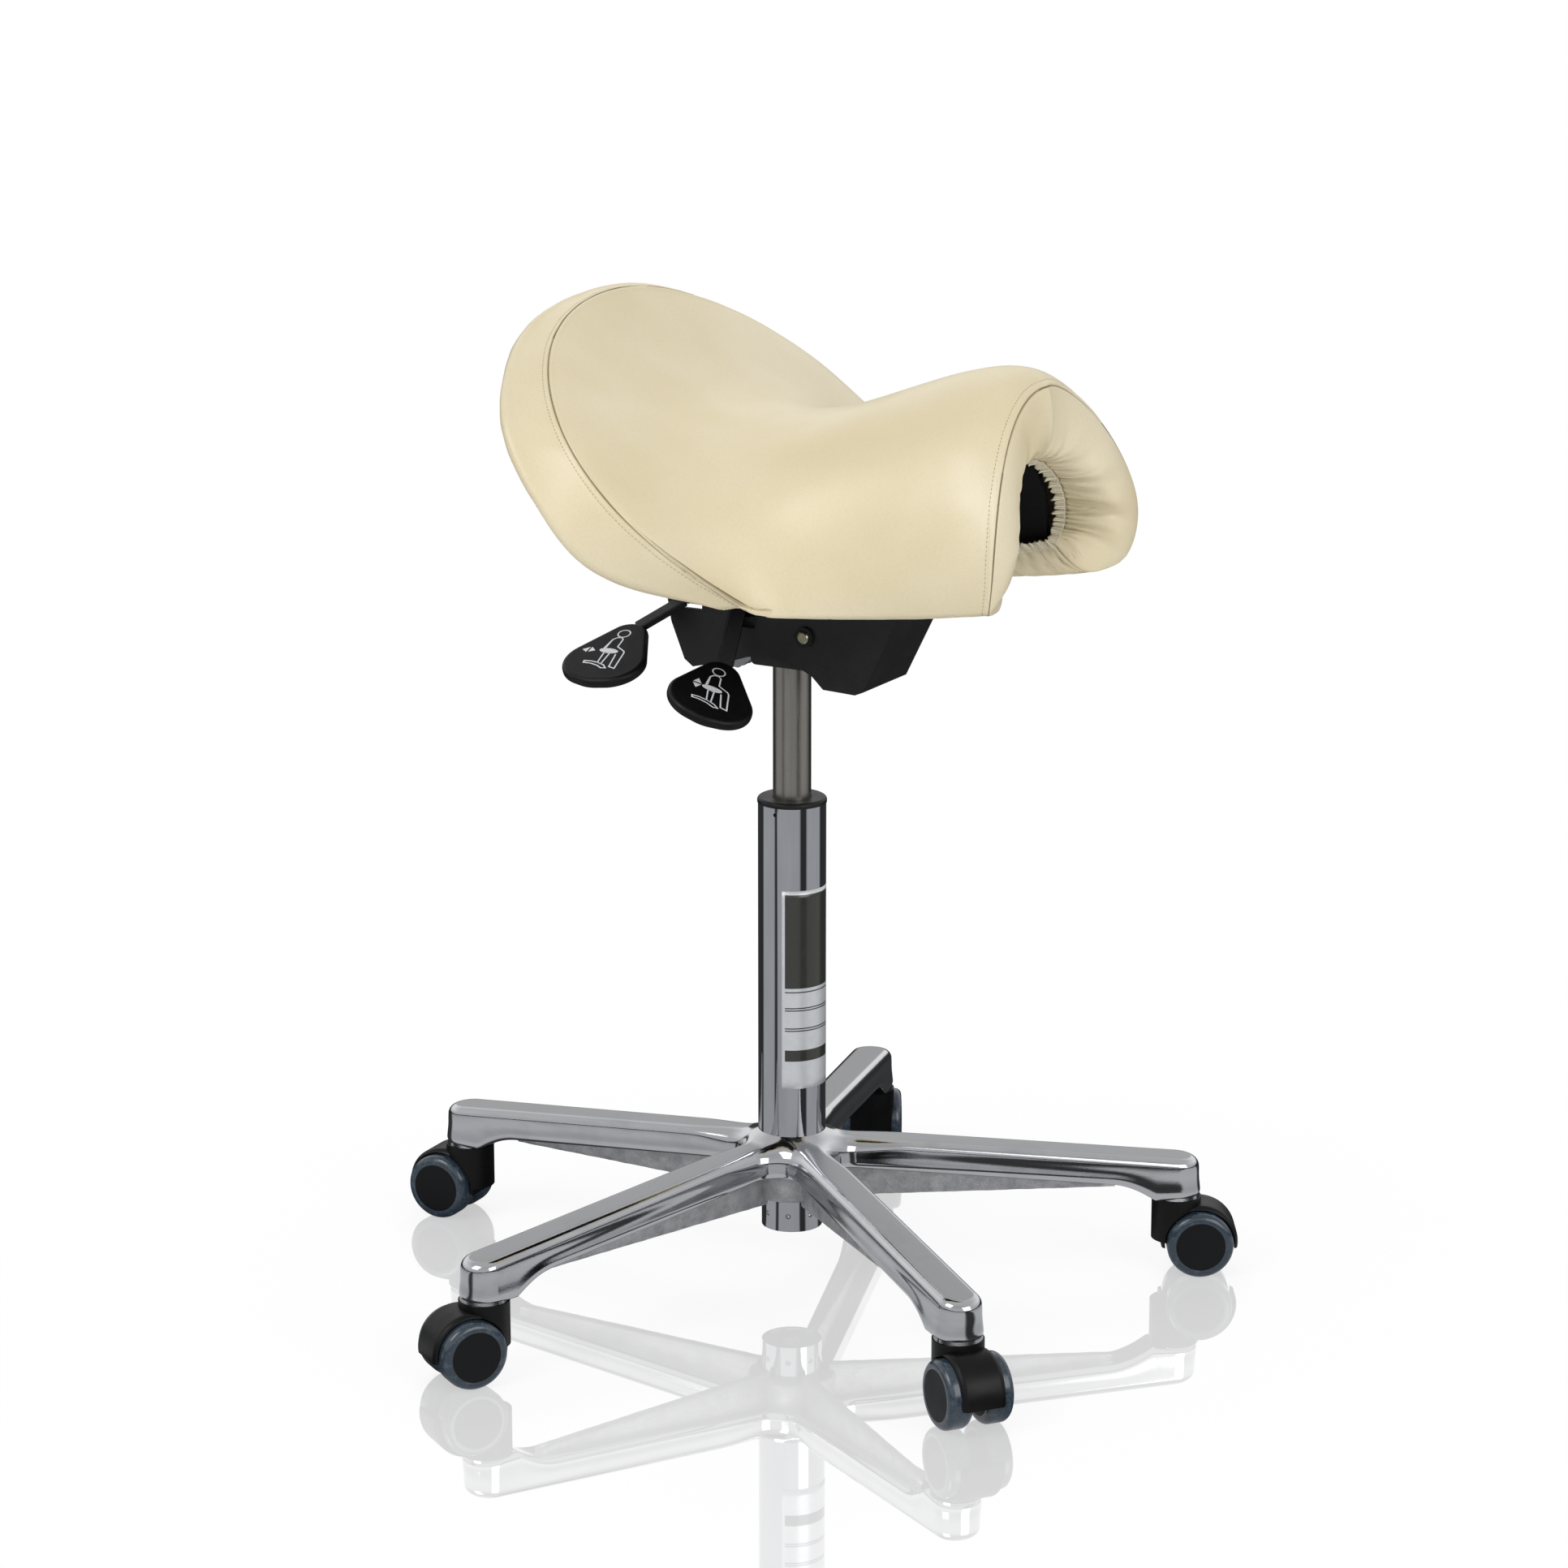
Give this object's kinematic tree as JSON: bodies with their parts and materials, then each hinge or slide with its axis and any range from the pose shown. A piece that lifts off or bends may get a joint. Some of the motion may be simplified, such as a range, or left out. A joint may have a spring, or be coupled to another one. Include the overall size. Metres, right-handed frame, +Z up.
{
  "type": "dentist stool",
  "caption": "Saddle-seat surgery stool with a tilting, height-adjustable seat on a gas column and a star base with swivelling twin-wheel castors.",
  "frame": {"origin": "column axis at floor level", "axes": "+Z up, +X the way the sitter faces, +Y the sitter's left"},
  "size_m": [0.6208, 0.6454, 0.735],
  "materials": {
    "cast_aluminium": "polished with a satin top face",
    "chrome_column": "polished",
    "satin_cylinder": "drawn",
    "bare_steel": "plain",
    "zinc_bolt": "zinc plated",
    "black_steel": "satin powder coat",
    "black_plastic": "fine moulded texture",
    "soft_black_plastic": "smooth matt",
    "black_rubber": "matt",
    "soft_tread": "glossy soft tread",
    "black_timber": "stained plywood",
    "foam": "moulded foam",
    "cream_leather": "smooth upholstery",
    "cream_elastic": "ruffled elastic"
  },
  "bodies": {
    "base": {"star_base": "cast_aluminium", "column_tube": "chrome_column", "guide_bush": "black_plastic", "column_end_plate": "bare_steel", "thrust_bearing": "bare_steel", "bump_stop": "black_rubber"},
    "rod": {"piston_rod": "chrome_column", "retaining_clip": "bare_steel"},
    "lift": {"gas_cylinder": "satin_cylinder", "tilt_core": "black_steel", "lock_plates": "black_steel", "pivot_bolt": "zinc_bolt", "height_lever_pin": "bare_steel"},
    "valve": {"release_pin": "bare_steel"},
    "seat": {"tilt_housing": "black_steel", "pivot_bushes": "black_plastic", "clamp_bolt": "bare_steel", "tilt_lever_pin": "bare_steel", "seat_screws": "zinc_bolt", "seat_board": "black_timber", "seat_shell": "black_plastic", "seat_foam": "foam", "seat_cover": "cream_leather", "cover_hem": "cream_elastic"},
    "height_lever": {"height_lever_bar": "black_steel", "height_lever_paddle": "soft_black_plastic"},
    "tilt_lever": {"tilt_lever_bar": "black_steel", "tilt_lever_paddle": "soft_black_plastic"},
    "castor_1": {"castor_1_hood": "black_plastic", "castor_1_pins": "bare_steel"},
    "castor_1_wheel_a": {"castor_1_wheel_a_core": "soft_black_plastic", "castor_1_wheel_a_tread": "soft_tread"},
    "castor_1_wheel_b": {"castor_1_wheel_b_core": "soft_black_plastic", "castor_1_wheel_b_tread": "soft_tread"},
    "castor_2": {"castor_2_hood": "black_plastic", "castor_2_pins": "bare_steel"},
    "castor_2_wheel_a": {"castor_2_wheel_a_core": "soft_black_plastic", "castor_2_wheel_a_tread": "soft_tread"},
    "castor_2_wheel_b": {"castor_2_wheel_b_core": "soft_black_plastic", "castor_2_wheel_b_tread": "soft_tread"},
    "castor_3": {"castor_3_hood": "black_plastic", "castor_3_pins": "bare_steel"},
    "castor_3_wheel_a": {"castor_3_wheel_a_core": "soft_black_plastic", "castor_3_wheel_a_tread": "soft_tread"},
    "castor_3_wheel_b": {"castor_3_wheel_b_core": "soft_black_plastic", "castor_3_wheel_b_tread": "soft_tread"},
    "castor_4": {"castor_4_hood": "black_plastic", "castor_4_pins": "bare_steel"},
    "castor_4_wheel_a": {"castor_4_wheel_a_core": "soft_black_plastic", "castor_4_wheel_a_tread": "soft_tread"},
    "castor_4_wheel_b": {"castor_4_wheel_b_core": "soft_black_plastic", "castor_4_wheel_b_tread": "soft_tread"},
    "castor_5": {"castor_5_hood": "black_plastic", "castor_5_pins": "bare_steel"},
    "castor_5_wheel_a": {"castor_5_wheel_a_core": "soft_black_plastic", "castor_5_wheel_a_tread": "soft_tread"},
    "castor_5_wheel_b": {"castor_5_wheel_b_core": "soft_black_plastic", "castor_5_wheel_b_tread": "soft_tread"}
  },
  "joints": [
    {"name": "seat_swivel", "type": "hinge", "parent": "base", "child": "rod", "pos_m": [0, 0, 0.05], "axis": [0, 0, 1], "continuous": true},
    {"name": "height_lift", "type": "slide", "parent": "rod", "child": "lift", "axis": [0, 0, 1], "range_m": [-0.06, 0.07]},
    {"name": "seat_tilt", "type": "hinge", "parent": "lift", "child": "seat", "pos_m": [0.029, 0, 0.5035], "axis": [0, 1, 0], "range_deg": [-8, 10]},
    {"name": "height_lever_pull", "type": "hinge", "parent": "lift", "child": "height_lever", "pos_m": [-0.014, -0.018, 0.5195], "axis": [-1, 0, 0], "range_deg": [0, 10], "stiffness_Nm_per_rad": 1.5, "springref_deg": -17.19},
    {"name": "valve_press", "type": "slide", "parent": "lift", "child": "valve", "axis": [0, 0, -1], "range_m": [0, 0.0037]},
    {"name": "tilt_lever_pull", "type": "hinge", "parent": "seat", "child": "tilt_lever", "pos_m": [-0.062, -0.02, 0.524], "axis": [-1, 0, 0], "range_deg": [0, 10], "stiffness_Nm_per_rad": 1.5, "springref_deg": -17.19},
    {"name": "castor_1_swivel", "type": "hinge", "parent": "base", "child": "castor_1", "pos_m": [0.23755, 0.16634, 0.058], "axis": [0, 0, 1], "continuous": true},
    {"name": "castor_1_roll_a", "type": "hinge", "parent": "castor_1", "child": "castor_1_wheel_a", "pos_m": [0.25228, 0.17484, 0.025], "axis": [-0.5, 0.866, 0], "continuous": true},
    {"name": "castor_1_roll_b", "type": "hinge", "parent": "castor_1", "child": "castor_1_wheel_b", "pos_m": [0.25228, 0.17484, 0.025], "axis": [-0.5, 0.866, 0], "continuous": true},
    {"name": "castor_2_swivel", "type": "hinge", "parent": "base", "child": "castor_2", "pos_m": [-0.08479, 0.27733, 0.058], "axis": [0, 0, 1], "continuous": true},
    {"name": "castor_2_roll_a", "type": "hinge", "parent": "castor_2", "child": "castor_2_wheel_a", "pos_m": [-0.09329, 0.29205, 0.025], "axis": [-0.866, -0.5, 0], "continuous": true},
    {"name": "castor_2_roll_b", "type": "hinge", "parent": "castor_2", "child": "castor_2_wheel_b", "pos_m": [-0.09329, 0.29205, 0.025], "axis": [-0.866, -0.5, 0], "continuous": true},
    {"name": "castor_3_swivel", "type": "hinge", "parent": "base", "child": "castor_3", "pos_m": [-0.28996, 0.00506, 0.058], "axis": [0, 0, 1], "continuous": true},
    {"name": "castor_3_roll_a", "type": "hinge", "parent": "castor_3", "child": "castor_3_wheel_a", "pos_m": [-0.30693, 0.00417, 0.025], "axis": [0.0523, -0.9986, 0], "continuous": true},
    {"name": "castor_3_roll_b", "type": "hinge", "parent": "castor_3", "child": "castor_3_wheel_b", "pos_m": [-0.30693, 0.00417, 0.025], "axis": [0.0523, -0.9986, 0], "continuous": true},
    {"name": "castor_4_swivel", "type": "hinge", "parent": "base", "child": "castor_4", "pos_m": [-0.09441, -0.2742, 0.058], "axis": [0, 0, 1], "continuous": true},
    {"name": "castor_4_roll_a", "type": "hinge", "parent": "castor_4", "child": "castor_4_wheel_a", "pos_m": [-0.10367, -0.28846, 0.025], "axis": [0.8387, -0.5446, 0], "continuous": true},
    {"name": "castor_4_roll_b", "type": "hinge", "parent": "castor_4", "child": "castor_4_wheel_b", "pos_m": [-0.10367, -0.28846, 0.025], "axis": [0.8387, -0.5446, 0], "continuous": true},
    {"name": "castor_5_swivel", "type": "hinge", "parent": "base", "child": "castor_5", "pos_m": [0.2316, -0.17453, 0.058], "axis": [0, 0, 1], "continuous": true},
    {"name": "castor_5_roll_a", "type": "hinge", "parent": "castor_5", "child": "castor_5_wheel_a", "pos_m": [0.24518, -0.18476, 0.025], "axis": [0.6018, 0.7986, 0], "continuous": true},
    {"name": "castor_5_roll_b", "type": "hinge", "parent": "castor_5", "child": "castor_5_wheel_b", "pos_m": [0.24518, -0.18476, 0.025], "axis": [0.6018, 0.7986, 0], "continuous": true}
  ],
  "couplings": [
    {"joint": "valve_press", "follows": "height_lever_pull", "m_per_rad": 0.0206}
  ]
}
